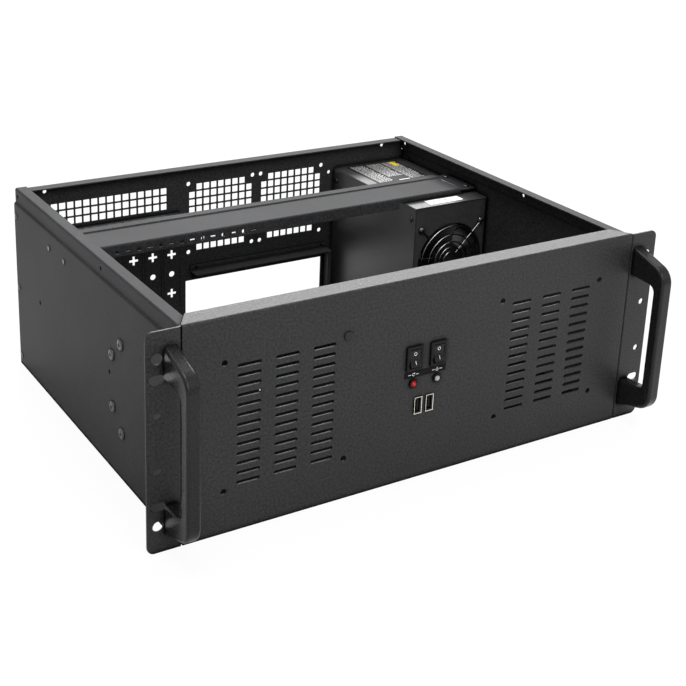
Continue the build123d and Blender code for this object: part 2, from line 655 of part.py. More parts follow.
def make_angle(left, right, height, drop, depth, hole_places):
    """An angle on the rear panel: a shelf leg towards the front and an upright leg on the panel."""
    with BuildPart() as angle:
        with BuildSketch(Plane.YZ.offset(left)):
            with BuildLine():
                edge = FilletPolyline(
                    (REAR_IN - depth, height),
                    (REAR_IN, height),
                    (REAR_IN, height + drop),
                    radius=OUTER_BEND,
                )
                offset(edge, amount=SHEET, side=Side.RIGHT if drop < 0 else Side.LEFT)
            make_face()
        extrude(amount=right - left)
        with Locations(*hole_places):
            Hole(SHELF_HOLE / 2, 2 * SHEET)
    return angle.part


# Shelf above the slots, with one screw place for each card
SHELF_LEFT = SLOTS[-1] - SLOT_PITCH * 0.75
SHELF_RIGHT = FIRST_SLOT + SLOT_PITCH * 0.4
shelf_holes = [Pos(x + SLOT_PITCH * 0.3, REAR_IN - SHELF_DEPTH * 0.6, SHELF_HEIGHT) for x in SLOTS]
save(make_angle(SHELF_LEFT, SHELF_RIGHT, SHELF_HEIGHT, -SHELF_DROP, SHELF_DEPTH, shelf_holes), "slot_shelf")

# Angles above and beside the I/O opening
IO_LEFT = IO_MIDDLE - IO_OPENING[0] / 2 + IO_SHELF_SHIFT
IO_RIGHT = IO_MIDDLE + IO_OPENING[0] / 2 + IO_SHELF_SHIFT
IO_HOLE_IN = 6.0
io_holes = [
    front_plane(x, IO_SHELF_HEIGHT + IO_SHELF_RISE * 0.6, REAR_IN - SHEET)
    for x in (IO_LEFT + IO_HOLE_IN, IO_RIGHT - IO_HOLE_IN)
]
save(
    make_angle(IO_LEFT, IO_RIGHT, IO_SHELF_HEIGHT, IO_SHELF_RISE, SHELF_DEPTH, io_holes), "io_shelf"
)
with BuildPart() as io_post:
    with BuildSketch(Plane.XY.offset(2 * SHEET)):
        with BuildLine():
            post_line = FilletPolyline(
                (IO_RIGHT - IO_POST_WIDTH, REAR_IN - SHELF_DEPTH),
                (IO_RIGHT, REAR_IN - SHELF_DEPTH),
                (IO_RIGHT, REAR_IN),
                radius=OUTER_BEND,
            )
            offset(post_line, amount=SHEET, side=Side.LEFT)
        make_face()
    extrude(amount=IO_SHELF_HEIGHT - 2 * SHEET)
save(io_post.part, "io_post")

# Posts that carry the board
post_places = [
    (POST_RIGHT - column, REAR_IN - POST_REAR - row) for column in POST_COLUMNS for row in POST_ROWS
]
with BuildPart() as post:
    Cylinder(POST[0] / 2, POST[1], align=(Align.CENTER, Align.CENTER, Align.MIN))
    chamfer(post.edges().sort_by(Axis.Z)[-1], 0.4)
    with Locations((0, 0, POST[1])):
        Hole(POST_HOLE / 2, POST[1] * 0.8)
save(Compound(children=[Pos(x, y, SHEET) * post.part for x, y in post_places]), "standoffs")

# Power supply: a folded cover over a folded base
with BuildPart() as psu_cover:
    with BuildSketch(Plane.XZ.offset(-PSU_FRONT)):
        with BuildLine():
            cover_line = FilletPolyline(
                (PSU_RIGHT, PSU_TOP),
                (PSU_LEFT, PSU_TOP),
                (PSU_LEFT, PSU_BOTTOM),
                (PSU_RIGHT, PSU_BOTTOM),
                radius=PSU_SHEET + INNER_BEND,
            )
            offset(cover_line, amount=PSU_SHEET, side=Side.LEFT)
        make_face()
    extrude(amount=-PSU_DEPTH)
    cover_screw_planes = [
        side_plane(-1, y, z, -PSU_LEFT)
        for y in (PSU_FRONT + 7, REAR_IN - 7)
        for z in (PSU_BOTTOM + 12, PSU_TOP - 12)
    ]
    with Locations(*cover_screw_planes):
        Hole(PSU_COVER_HOLE / 2, 2 * PSU_SHEET)
save(psu_cover.part, "psu_cover")

FAN_PLANE = front_plane(FAN_X, PSU_FAN_HEIGHT, PSU_FRONT + FACE_IN)
INLET_BODY = (27.5, 20.0, 18.0)
INLET_Z = PSU_TOP - 34
PSU_SWITCH_Z = PSU_TOP - 62
PSU_TAB = 10.0
with BuildPart() as psu_base:
    skin = PSU_SHEET + INNER_BEND
    with BuildSketch(Plane.XY.offset(PSU_BOTTOM + skin)):
        with BuildLine():
            base_line = FilletPolyline(
                (PSU_LEFT + PSU_SHEET, REAR_IN - PSU_TAB),
                (PSU_LEFT + PSU_SHEET, REAR_IN),
                (PSU_RIGHT, REAR_IN),
                (PSU_RIGHT, PSU_FRONT + FACE_IN),
                (PSU_LEFT + PSU_SHEET, PSU_FRONT + FACE_IN),
                (PSU_LEFT + PSU_SHEET, PSU_FRONT + FACE_IN + PSU_TAB),
                radius=PSU_SHEET + INNER_BEND,
            )
            offset(base_line, amount=PSU_SHEET, side=Side.RIGHT)
        make_face()
    extrude(amount=PSU_HEIGHT - 2 * skin)
    with Locations(*cover_screw_planes):
        Hole(PSU_COVER_HOLE / 2, 4 * PSU_SHEET)
    # Round opening and screw places of the fan
    with BuildSketch(FAN_PLANE):
        Circle(PSU_BORE / 2)
        with GridLocations(FAN_PITCH, FAN_PITCH, 2, 2):
            Circle(FAN_SCREW_HOLE / 2)
    extrude(amount=-2 * PSU_SHEET, mode=Mode.SUBTRACT)
    # Rear face: inlet, switch and vent slots
    with BuildSketch(rear_plane(PSU_X, 0, REAR_IN)):
        with Locations((0, INLET_Z)):
            Rectangle(INLET_BODY[0] + FIT, INLET_BODY[1] + FIT)
        with Locations((0, PSU_SWITCH_Z)):
            Rectangle(SWITCH_BODY[0] + FIT, SWITCH_BODY[1] + FIT)
        with Locations((0, PSU_BOTTOM + 45)):
            with GridLocations(0, 6.5, 1, 9):
                SlotOverall(44, 3)
    extrude(amount=-2 * PSU_SHEET, mode=Mode.SUBTRACT)
    with Locations(*[rear_plane(PSU_RIGHT - v, PSU_BOTTOM + u, REAR_IN) for u, v in PSU_HOLES]):
        Hole(PSU_SCREW_HOLE / 2, 2 * PSU_SHEET)
save(psu_base.part, "psu_base")
cover_screw = screw(2.8, 1.2, PSU_COVER_HOLE / 2 - SHANK_GAP, 4.0)
save(Compound(children=[plane * cover_screw for plane in cover_screw_planes]), "psu_cover_screws")
mount_screw = screw(3.4, 1.8, PSU_SCREW_HOLE / 2 - SHANK_GAP, 5.0)
save(Compound(children=[plane * mount_screw for plane in psu_hole_planes]), "psu_mount_screws")

# Labels on the top of the supply
LABEL_THICK = 0.2
for name, width, depth, x, y in (
    ("psu_label_front", 39.0, 11.3, PSU_X - 2.6, PSU_FRONT + 10.0),
    ("psu_label_rear", 62.0, 70.0, PSU_X, REAR_IN - 42.0),
):
    with BuildPart() as psu_label:
        with Locations((x, y, PSU_TOP)):
            Box(width, depth, LABEL_THICK, align=(Align.CENTER, Align.CENTER, Align.MIN))
    save(psu_label.part, name)

# Fan frame: a square frame with a round bore, a motor cup and three struts
WALL_GAP = 1.0
with BuildPart() as fan_frame:
    with BuildSketch(front_plane(FAN_X, PSU_FAN_HEIGHT, FAN_FRONT)):
        RectangleRounded(PSU_FAN, PSU_FAN, 4)
        Circle(BLADE_TIP + WALL_GAP, mode=Mode.SUBTRACT)
        with GridLocations(FAN_PITCH, FAN_PITCH, 2, 2):
            Circle(FAN_SCREW_HOLE / 2, mode=Mode.SUBTRACT)
    extrude(amount=-PSU_FAN_DEPTH)
    with BuildSketch(front_plane(FAN_X, PSU_FAN_HEIGHT, FAN_FRONT + PSU_FAN_DEPTH)):
        Circle(HUB / 2)
        with PolarLocations((BLADE_TIP + WALL_GAP + HUB / 2) / 2, 3, start_angle=90):
            Rectangle(BLADE_TIP - HUB / 2 + 4, 4.5)
    extrude(amount=2.5)
save(fan_frame.part, "fan_frame")

# Fan rotor: a cupped hub with swept, twisted blades
HUB_DEPTH = 20.0
HUB_FRONT = 1.5
ROTOR_Y = FAN_FRONT + HUB_FRONT
BLADE_THICK = 1.6
BLADE_SECTIONS = (  # radius, chord, pitch and sweep from the hub to past the tip
    (HUB / 2 - 2, 17.0, 48.0, 0.0),
    ((HUB / 2 + BLADE_TIP) / 2, 19.0, 38.0, 4.0),
    (BLADE_TIP + 1, 21.0, 30.0, 9.0),
)
with BuildPart() as blade:
    for radius, chord, pitch, sweep_angle in BLADE_SECTIONS:
        swing = math.radians(sweep_angle)
        outward = Vector(math.sin(swing), math.cos(swing), 0)
        across = Vector(math.cos(swing), -math.sin(swing), 0)
        tilt = math.radians(pitch)
        along = across * math.cos(tilt) + Vector(0, 0, 1) * math.sin(tilt)
        with BuildSketch(Plane(origin=outward * radius, x_dir=along, z_dir=outward)):
            SlotOverall(chord, BLADE_THICK)
    loft()
    # The tips are trimmed to the round of the bore
    with BuildSketch(Plane.XY.offset(-HUB_DEPTH)):
        Circle(BLADE_TIP)
    extrude(amount=2 * HUB_DEPTH, mode=Mode.INTERSECT)
with BuildPart() as rotor:
    with BuildSketch(Plane.XY.offset(-HUB_DEPTH)):
        Circle(HUB / 2)
    extrude(amount=HUB_DEPTH)
    fillet(rotor.edges().filter_by(GeomType.CIRCLE).sort_by(Axis.Z)[-1], 2.0)
    with Locations(Pos(0, 0, -HUB_DEPTH / 2)):
        with PolarLocations(0, BLADES):
            add(blade.part)
save(front_plane(FAN_X, PSU_FAN_HEIGHT, ROTOR_Y) * rotor.part, "fan_rotor")

# Wire guard: rings on four arms that end in screw eyes
EYE = 2.6
ARM_DROP = GUARD_WIRE * 0.8
ARM_START = GUARD_RINGS[0] - 1
EYE_REACH = FAN_PITCH / math.sqrt(2)
with BuildPart() as guard_arm:
    with Locations((ARM_START, 0, -ARM_DROP)):
        Cylinder(
            GUARD_WIRE / 2,
            EYE_REACH - EYE - ARM_START,
            rotation=(0, 90, 0),
            align=(Align.CENTER, Align.CENTER, Align.MIN),
        )
    with Locations((EYE_REACH, 0, -ARM_DROP)):
        Torus(EYE, GUARD_WIRE / 2)
with BuildPart() as guard:
    for radius in GUARD_RINGS:
        Torus(radius, GUARD_WIRE / 2)
    with PolarLocations(0, 4, start_angle=45):
        add(guard_arm.part)
GUARD_Y = PSU_FRONT + FACE_IN - GUARD_WIRE / 2 - ARM_DROP
save(front_plane(FAN_X, PSU_FAN_HEIGHT, GUARD_Y) * guard.part, "fan_guard")
EYE_Y = PSU_FRONT + FACE_IN - GUARD_WIRE
fan_screw_planes = [
    front_plane(FAN_X + a * FAN_PITCH / 2, PSU_FAN_HEIGHT + b * FAN_PITCH / 2, EYE_Y)
    for a in (-1, 1)
    for b in (-1, 1)
]
fan_screw = screw(3.0, 1.6, EYE - GUARD_WIRE / 2 - 4 * SHANK_GAP, 12.0)
save(Compound(children=[plane * fan_screw for plane in fan_screw_planes]), "fan_screws")

# Power inlet: a flanged body with a six-sided recess and three blades
with BuildPart() as inlet:
    with BuildSketch():
        RectangleRounded(30.5, 23, 2)
    extrude(amount=2.0)
    with BuildSketch():
        Rectangle(INLET_BODY[0], INLET_BODY[1])
    extrude(amount=-INLET_BODY[2])
    with BuildSketch(Plane.XY.offset(2.0)):
        with BuildLine():
            Polyline((-12, -8), (12, -8), (12, 4), (8, 8), (-8, 8), (-12, 4), close=True)
        make_face()
    extrude(amount=-16, mode=Mode.SUBTRACT)
INLET_PLANE = rear_plane(PSU_X, INLET_Z, REAR_IN)
save(INLET_PLANE * inlet.part, "power_inlet")
with BuildPart() as pins:
    with Locations((-7, -1.5, -14), (0, 2.5, -14), (7, -1.5, -14)):
        Box(2, 4, 12, align=(Align.CENTER, Align.CENTER, Align.MIN))
save(INLET_PLANE * pins.part, "inlet_pins")

# Rocker switches. Each is built lying on its back at the origin, face up, with its height along Y.
CAVITY = (ROCKER_WIDTH + 2 * FIT, 2 * (ROCKER_REACH + FIT), 10.0)
ROCKER_AXIS = -0.5  # below the panel's face
ROCKER_FACE = 3.8  # from the axis to the rocker's raised ends
PIVOT = 2.4
with BuildPart() as switch_housing:
    with BuildSketch():
        RectangleRounded(SWITCH_BEZEL[0], SWITCH_BEZEL[1], 1)
    extrude(amount=SWITCH_BEZEL[2])
    chamfer(switch_housing.faces().sort_by(Axis.Z)[-1].edges(), 0.5)
    with BuildSketch():
        Rectangle(SWITCH_BODY[0], SWITCH_BODY[1])
    extrude(amount=-SWITCH_BODY[2])
    with BuildSketch(Plane.XY.offset(SWITCH_BEZEL[2])):
        Rectangle(CAVITY[0], CAVITY[1])
    extrude(amount=-CAVITY[2], mode=Mode.SUBTRACT)
    with Locations(Plane.YZ.offset(SWITCH_BODY[0] / 2) * Pos(0, ROCKER_AXIS, 0)):
        Hole(PIVOT / 2 + FIT / 2, SWITCH_BODY[0])
with BuildPart() as rocker:
    with BuildSketch(Plane.YZ):
        with BuildLine():
            tip = math.sqrt(ROCKER_REACH**2 - ROCKER_FACE**2)
            foot = ROCKER_REACH * 0.6
            ThreePointArc((-tip, ROCKER_FACE), (0, ROCKER_FACE - 1.5), (tip, ROCKER_FACE))
            RadiusArc((tip, ROCKER_FACE), (ROCKER_REACH, 0), ROCKER_REACH)
            Polyline((ROCKER_REACH, 0), (foot, -4), (-foot, -4), (-ROCKER_REACH, 0))
            RadiusArc((-ROCKER_REACH, 0), (-tip, ROCKER_FACE), ROCKER_REACH)
        make_face()
    extrude(amount=ROCKER_WIDTH / 2, both=True)
    with BuildSketch(Plane.YZ):
        Circle(PIVOT / 2)
    extrude(amount=SWITCH_BODY[0] / 2 - FIT, both=True)
with BuildPart() as terminals:
    with Locations((0, 5, -SWITCH_BODY[2]), (0, -5, -SWITCH_BODY[2])):
        Box(4.8, 0.8, 8, align=(Align.CENTER, Align.CENTER, Align.MAX))


def place_switch(plane, housing_name, rocker_name):
    """Puts a switch on its panel, its upper end pressed in."""
    save(plane * switch_housing.part, housing_name)
    pressed = plane * Pos(0, 0, ROCKER_AXIS) * Rot(-ROCKER_TRAVEL / 2, 0, 0)
    save(pressed * rocker.part, rocker_name)


SWITCH_PLANES = [front_plane(x, SWITCH_HEIGHT) for x in SWITCHES]
place_switch(SWITCH_PLANES[0], "reset_switch_housing", "reset_rocker")
place_switch(SWITCH_PLANES[1], "power_switch_housing", "power_rocker")
PSU_SWITCH_PLANE = rear_plane(PSU_X, PSU_SWITCH_Z, REAR_IN)
place_switch(PSU_SWITCH_PLANE, "psu_switch_housing", "psu_rocker")
terminal_solids = [solid for plane in SWITCH_PLANES for solid in (plane * terminals.part).solids()]
save(Compound(children=terminal_solids), "switch_terminals")
with BuildPart() as label_strip:
    Box(*LABEL, align=(Align.CENTER, Align.CENTER, Align.MIN))
save(front_plane(0, LABEL_HEIGHT) * label_strip.part, "switch_label")

# Lamps: a collared holder with a domed lens in it
with BuildPart() as holder:
    Cylinder(LAMP_HOLDER / 2, LAMP_COLLAR, align=(Align.CENTER, Align.CENTER, Align.MIN))
    fillet(holder.edges().filter_by(GeomType.CIRCLE).sort_by(Axis.Z)[-1], 0.5)
    Cylinder(LAMP_LENS / 2 + 0.6, 7.0, align=(Align.CENTER, Align.CENTER, Align.MAX))
    with Locations((0, 0, LAMP_COLLAR)):
        Hole(LAMP_LENS / 2 + SHANK_GAP, 2 * LAMP_DEPTH)
with BuildPart() as lens:
    with Locations((0, 0, LAMP_RISE)):
        Cylinder(LAMP_LENS / 2, LAMP_DEPTH, align=(Align.CENTER, Align.CENTER, Align.MAX))
        Sphere(LAMP_LENS / 2)
for x, word, color in zip(LAMPS, ("left", "right"), ("red", "clear")):
    save(front_plane(x, LAMP_HEIGHT) * holder.part, f"led_holder_{word}")
    save(front_plane(x, LAMP_HEIGHT) * lens.part, f"led_{color}")

# USB sockets: a metal shell with a flared mouth, a tongue in it, and a board behind
USB_WALL = 0.4
USB_MOUTH = 1.0
with BuildPart() as usb_shell:
    with BuildSketch():
        Rectangle(USB_SHELL[0], USB_SHELL[1])
    extrude(amount=-USB_DEPTH)
    with BuildSketch():
        Rectangle(USB_SHELL[0], USB_SHELL[1])
    with BuildSketch(Plane.XY.offset(USB_MOUTH)):
        Rectangle(USB_SHELL[0] + 2 * USB_FLARE, USB_SHELL[1] + 2 * USB_FLARE)
    loft()
    inner = (USB_SHELL[0] - 2 * USB_WALL, USB_SHELL[1] - 2 * USB_WALL)
    with BuildSketch():
        Rectangle(*inner)
    extrude(amount=-USB_DEPTH, mode=Mode.SUBTRACT)
    with BuildSketch():
        Rectangle(*inner)
    with BuildSketch(Plane.XY.offset(USB_MOUTH)):
        Rectangle(inner[0] + 2 * USB_FLARE, inner[1] + 2 * USB_FLARE)
    loft(mode=Mode.SUBTRACT)
with BuildPart() as usb_tongue:
    with Locations((0, 0, -USB_DEPTH)):
        Box(inner[0], inner[1], 3.0, align=(Align.CENTER, Align.CENTER, Align.MIN))
    with Locations((inner[0] / 2 - 1.2, 0, -USB_DEPTH)):
        Box(1.9, inner[1] - 1.2, USB_DEPTH - 1.5, align=(Align.CENTER, Align.CENTER, Align.MIN))
for x, word in zip(USB_PORTS, ("left", "right")):
    save(front_plane(x, USB_HEIGHT) * usb_shell.part, f"usb_shell_{word}")
    save(front_plane(x, USB_HEIGHT) * usb_tongue.part, f"usb_tongue_{word}")
BOARD = (34.0, 22.0, 1.6)
with BuildPart() as usb_board:
    Box(*BOARD, align=(Align.CENTER, Align.CENTER, Align.MAX))
save(front_plane(0, USB_HEIGHT, USB_DEPTH) * usb_board.part, "usb_board")
with BuildPart() as usb_posts:
    with GridLocations(BOARD[0] - 6, 0, 2, 1):
        Cylinder(2.5, USB_DEPTH - FACE_SHEET, align=(Align.CENTER, Align.CENTER, Align.MAX))
save(front_plane(0, USB_HEIGHT, FACE_SHEET) * usb_posts.part, "usb_posts")
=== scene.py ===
import json
import math
import random

import bmesh
import bpy
from mathutils import Matrix, Vector


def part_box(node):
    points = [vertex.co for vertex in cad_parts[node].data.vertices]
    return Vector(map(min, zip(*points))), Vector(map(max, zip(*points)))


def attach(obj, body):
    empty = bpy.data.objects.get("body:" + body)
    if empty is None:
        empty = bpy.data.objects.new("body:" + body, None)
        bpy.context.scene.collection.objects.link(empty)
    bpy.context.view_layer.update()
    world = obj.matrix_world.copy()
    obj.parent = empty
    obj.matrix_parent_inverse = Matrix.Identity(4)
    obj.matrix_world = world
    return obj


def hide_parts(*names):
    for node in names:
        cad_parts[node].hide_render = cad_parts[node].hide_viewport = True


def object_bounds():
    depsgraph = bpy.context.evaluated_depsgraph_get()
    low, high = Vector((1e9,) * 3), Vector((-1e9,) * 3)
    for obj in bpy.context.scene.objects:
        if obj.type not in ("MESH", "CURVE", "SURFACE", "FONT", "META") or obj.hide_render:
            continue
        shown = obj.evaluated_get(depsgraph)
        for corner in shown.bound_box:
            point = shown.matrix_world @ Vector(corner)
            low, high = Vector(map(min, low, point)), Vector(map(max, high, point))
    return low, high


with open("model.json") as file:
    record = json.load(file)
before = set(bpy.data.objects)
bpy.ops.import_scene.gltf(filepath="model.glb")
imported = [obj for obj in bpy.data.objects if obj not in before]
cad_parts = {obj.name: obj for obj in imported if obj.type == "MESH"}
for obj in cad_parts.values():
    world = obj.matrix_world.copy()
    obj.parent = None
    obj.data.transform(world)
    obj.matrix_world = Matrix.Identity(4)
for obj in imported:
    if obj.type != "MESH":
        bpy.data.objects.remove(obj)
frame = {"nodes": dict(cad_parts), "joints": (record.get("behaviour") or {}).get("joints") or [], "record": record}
nodes = frame["nodes"]
CAD_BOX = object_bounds()
scene = bpy.context.scene
scene.view_settings.view_transform = "Standard"

MM = 0.001
FRAME_PIXELS = 686.0
SENSOR = 36.0

# Camera, fitted to the photograph from the case's known sizes
FOCAL_PIXELS = 1300.69
CAMERA_PLACE = Vector((-0.57056, -0.75383, 0.547))
AZIMUTH = -0.55633
ELEVATION = 0.32431
ROLL = 0.03491
AXIS_PIXEL = (322.42, 205.8)
CLIP_NEAR = 0.01
CLIP_FAR = 100


def make_camera():
    """The photograph's camera."""
    data = bpy.data.cameras.new("camera")
    data.sensor_width = SENSOR
    data.lens = FOCAL_PIXELS * SENSOR / FRAME_PIXELS
    data.shift_x = (FRAME_PIXELS / 2 - AXIS_PIXEL[0]) / FRAME_PIXELS
    data.shift_y = (AXIS_PIXEL[1] - FRAME_PIXELS / 2) / FRAME_PIXELS
    data.clip_start = CLIP_NEAR
    data.clip_end = CLIP_FAR
    back = Vector(
        (
            math.sin(AZIMUTH) * math.cos(ELEVATION),
            -math.cos(AZIMUTH) * math.cos(ELEVATION),
            math.sin(ELEVATION),
        )
    )
    right = (-back).cross(Vector((0, 0, 1))).normalized()
    up = right.cross(-back)
    tilted_right = math.cos(ROLL) * right + math.sin(ROLL) * up
    tilted_up = -math.sin(ROLL) * right + math.cos(ROLL) * up
    turn = Matrix((tilted_right, tilted_up, back)).transposed().to_4x4()
    camera = bpy.data.objects.new("camera", data)
    camera.matrix_world = Matrix.Translation(CAMERA_PLACE) @ turn
    scene.collection.objects.link(camera)
    scene.camera = camera


# Materials
NOISE_SPAN = (0.3, 0.7)  # the values that a noise mostly takes
CREASE_SPAN = (0.45, 0.95)  # openness of a spot where a crease's painted shade is darkest, and where it ends
CREASE_SAMPLES = 6


class Nodes:
    """A material and short ways to add nodes to it."""

    def __init__(self, name, color, rough, metal=0.0, spec=0.5):
        self.material = bpy.data.materials.new(name)
        self.material.use_nodes = True
        self.tree = self.material.node_tree
        self.shader = self.tree.nodes["Principled BSDF"]
        self.set("Base Color", (*color, 1))
        self.set("Roughness", rough)
        self.set("Metallic", metal)
        self.set("Specular IOR Level", spec)
        self.place = self.tree.nodes.new("ShaderNodeTexCoord").outputs["Object"]

    def set(self, socket, value):
        self.shader.inputs[socket].default_value = value

    def link(self, a, b):
        self.tree.links.new(a, b)

    def drive(self, socket, value):
        """Lets a value steer one of the shader's sockets."""
        self.link(value, self.shader.inputs[socket])

    def noise(self, scale, detail=2.0, stretch=None, rough=0.5):
        """A noise with its scale per metre; stretch squeezes it along the axes."""
        node = self.tree.nodes.new("ShaderNodeTexNoise")
        node.inputs["Scale"].default_value = scale
        node.inputs["Detail"].default_value = detail
        node.inputs["Roughness"].default_value = rough
        source = self.place
        if stretch:
            mapping = self.tree.nodes.new("ShaderNodeMapping")
            mapping.inputs["Scale"].default_value = stretch
            self.link(source, mapping.inputs["Vector"])
            source = mapping.outputs["Vector"]
        self.link(source, node.inputs["Vector"])
        return node.outputs["Fac"]

    def ramp(self, value, low, high, a, b):
        """Runs from a to b, and no further, while a value runs from low to high."""
        node = self.tree.nodes.new("ShaderNodeMapRange")
        node.inputs["From Min"].default_value = low
        node.inputs["From Max"].default_value = high
        node.inputs["To Min"].default_value = a
        node.inputs["To Max"].default_value = b
        self.link(value, node.inputs["Value"])
        return node.outputs["Result"]

    def spread(self, noise, a, b):
        """Runs from a to b over the values that a noise mostly takes."""
        return self.ramp(noise, *NOISE_SPAN, a, b)

    def combine(self, operation, a, b):
        node = self.tree.nodes.new("ShaderNodeMath")
        node.operation = operation
        self.link(a, node.inputs[0])
        self.link(b, node.inputs[1])
        return node.outputs[0]

    def times(self, a, b):
        return self.combine("MULTIPLY", a, b)

    def plus(self, a, b):
        return self.combine("ADD", a, b)

    def axis(self, letter):
        """One coordinate of the place, in metres."""
        node = self.tree.nodes.new("ShaderNodeSeparateXYZ")
        self.link(self.place, node.inputs[0])
        return node.outputs[letter]

    def crease_shade(self, distance, low):
        """Painted shade: 1 in the open, falling to low in creases and holes narrower than the distance."""
        node = self.tree.nodes.new("ShaderNodeAmbientOcclusion")
        node.samples = CREASE_SAMPLES
        node.inputs["Distance"].default_value = distance
        return self.ramp(node.outputs["AO"], *CREASE_SPAN, low, 1.0)

    def blend(self, value, a, b, factor=None):
        """Base colour that runs from a to b with a value from 0 to 1, times a factor if one is given."""
        node = self.tree.nodes.new("ShaderNodeMix")
        node.data_type = "RGBA"
        node.inputs["A"].default_value = (*a, 1)
        node.inputs["B"].default_value = (*b, 1)
        self.link(value, node.inputs["Factor"])
        result = node.outputs["Result"]
        if factor:
            scale = self.tree.nodes.new("ShaderNodeVectorMath")
            scale.operation = "SCALE"
            self.link(result, scale.inputs[0])
            self.link(factor, scale.inputs["Scale"])
            result = scale.outputs[0]
        self.drive("Base Color", result)

    def bump(self, value, depth, strength):
        node = self.tree.nodes.new("ShaderNodeBump")
        node.inputs["Distance"].default_value = depth
        node.inputs["Strength"].default_value = strength
        self.link(value, node.inputs["Height"])
        self.drive("Normal", node.outputs["Normal"])


def shade(color, factor):
    return tuple(min(c * factor, 1.0) for c in color)


POWDER_CLOUDS = 14.0  # patches of tone per metre
POWDER_CREASE = 5 * MM
# share of the coat's colour left deep in a crease, as painted shade
POWDER_CREASE_SHADE = 0.1
CREASE_DULLNESS = 0.5  # added to the roughness deep in a crease
GLOSS_START = 0.2  # the crease value below which the coat has no gloss
TRAY_FLOOR_SHADE = 0.15  # share of the coat's colour left at the height of a floor, as painted shade


def powder(name, color, rough, spec, grain=640.0, depth=0.14 * MM, contrast=0.7, floor=None):
    """Powder coat: small grains, slight changes of tone and gloss, and dull creases darkened as painted shade.
    Up to the height of a floor it is darkened too, as painted shade that keeps the vents dark."""
    m = Nodes(name, color, rough, spec=spec)
    grains = m.noise(grain, 2.0, rough=0.7)
    clouds = m.noise(POWDER_CLOUDS, 3.0)
    crease_shade = m.crease_shade(POWDER_CREASE, POWDER_CREASE_SHADE)
    if floor:
        # painted shade: the colour falls towards the tray's floor, to keep the vents dark
        crease_shade = m.times(crease_shade, m.ramp(m.axis("Z"), floor, floor * 2, TRAY_FLOOR_SHADE, 1))
    # grain speckle, darkened by the painted crease shade
    grain_and_crease_shade = m.times(m.spread(grains, 1 - contrast, 1 + contrast), crease_shade)
    m.blend(m.spread(clouds, 0, 1), shade(color, 0.9), shade(color, 1.12), grain_and_crease_shade)
    dull = m.ramp(crease_shade, 0.0, 1.0, CREASE_DULLNESS, 0.0)
    m.drive("Roughness", m.plus(m.spread(grains, rough - 0.1, rough + 0.1), dull))
    m.drive("Specular IOR Level", m.ramp(crease_shade, GLOSS_START, 1.0, 0.0, spec))
    m.bump(grains, depth, 0.8)
    return m.material


PLASTIC_GRAIN = 1500.0
PLASTIC_CLOUDS = 60.0
SMALL_CREASE = 2 * MM


def plastic(name, color, rough, spec):
    """Moulded plastic with a very fine surface."""
    m = Nodes(name, color, rough, spec=spec)
    grains = m.noise(PLASTIC_GRAIN)
    clouds = m.spread(m.noise(PLASTIC_CLOUDS), 0, 1)
    # painted shade: the colour falls in creases narrower than SMALL_CREASE
    m.blend(clouds, shade(color, 0.92), shade(color, 1.1), m.crease_shade(SMALL_CREASE, 0.4))
    m.drive("Roughness", m.spread(grains, rough - 0.05, rough + 0.06))
    m.bump(grains, 0.02 * MM, 0.6)
    return m.material


METAL_GRAIN = 900.0
METAL_SPOTS = 90.0


def metal(name, color, rough):
    """Plated metal with fine grains and faint spots."""
    m = Nodes(name, color, rough, metal=1.0)
    grains = m.noise(METAL_GRAIN, 3.0)
    spots = m.spread(m.noise(METAL_SPOTS, 3.0), 0, 1)
    # painted shade: the colour falls in creases narrower than SMALL_CREASE
    m.blend(spots, shade(color, 0.86), shade(color, 1.08), m.crease_shade(SMALL_CREASE, 0.3))
    m.drive("Roughness", m.spread(grains, rough - 0.08, rough + 0.1))
    m.bump(grains, 0.01 * MM, 0.5)
    return m.material


def shell_metal(name, color, mouth):
    """Socket shell: bright at its mouth and darkened inside as painted shade."""
    m = Nodes(name, color, 0.25, metal=1.0)
    # painted shade: the colour falls almost to black inside the shell
    m.blend(m.ramp(m.axis("Y"), -mouth, -mouth * 0.8, 0, 1), color, shade(color, 0.05))
    m.drive("Roughness", m.spread(m.noise(METAL_GRAIN, 3.0, (1, 1, 0.1)), 0.18, 0.34))
    return m.material


def lens_material(name, color, glow):
    """Tinted clear plastic of a lamp."""
    m = Nodes(name, color, 0.12, spec=0.2)
    m.set("Transmission Weight", 0.25)
    m.set("IOR", 1.5)
    m.blend(m.spread(m.noise(700.0), 0, 1), shade(color, 0.85), shade(color, glow))
    return m.material


def board_material(name):
    """Green solder mask with faint tracks."""
    m = Nodes(name, (0.02, 0.13, 0.05), 0.35)
    tracks = m.noise(420.0, 1.0, (1, 1, 0.15))
    m.blend(m.ramp(tracks, 0.48, 0.52, 0, 1), (0.015, 0.1, 0.04), (0.03, 0.2, 0.08))
    m.bump(tracks, 0.03 * MM, 0.4)
    return m.material
